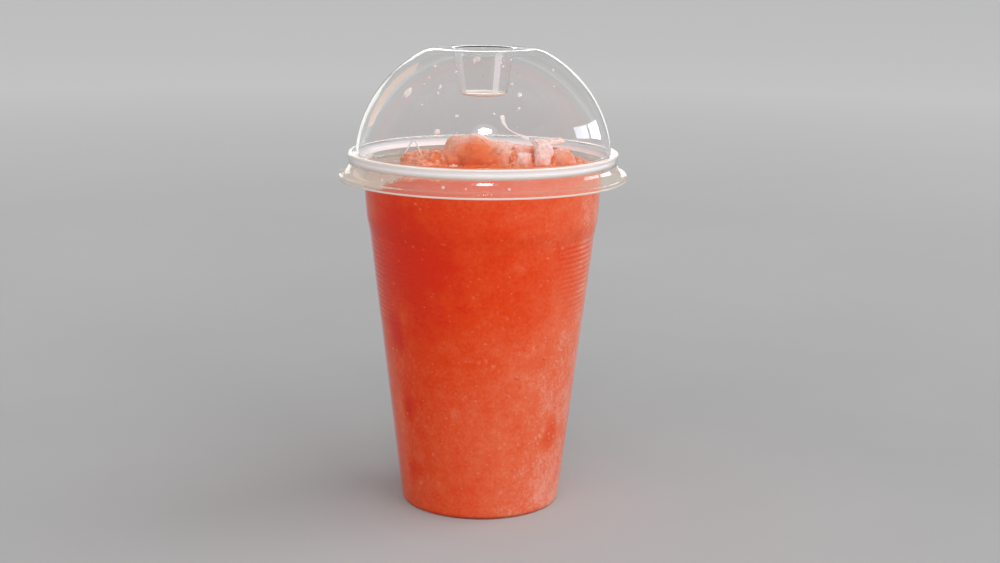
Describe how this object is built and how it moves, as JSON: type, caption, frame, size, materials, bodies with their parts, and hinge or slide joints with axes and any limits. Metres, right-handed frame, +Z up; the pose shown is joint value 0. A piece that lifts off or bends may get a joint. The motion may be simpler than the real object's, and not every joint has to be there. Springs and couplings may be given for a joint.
{
  "type": "frozen slush drink in a lidded cup",
  "caption": "Orange-red frozen slush heaped in a tapered clear plastic cup with a rolled rim and ribbed grip, under a clear dome lid with a straw well.",
  "frame": {"origin": "middle of the cup's foot ring, on the surface that it stands on", "axes": "+Z up along the axis of the cup and the lid; the picture looks roughly along +Y, from a little above"},
  "size_m": [0.1028, 0.1028, 0.1651],
  "materials": {
    "clear_cup": "clear, smooth, thin moulded plastic",
    "clear_lid": "clear, glossy, thin moulded plastic with a few water drops",
    "frozen_slush": "wet, fine-grained ice, slightly translucent"
  },
  "bodies": {
    "root": {"cup": "clear_cup", "lid": "clear_lid", "slush": "frozen_slush"}
  },
  "joints": []
}
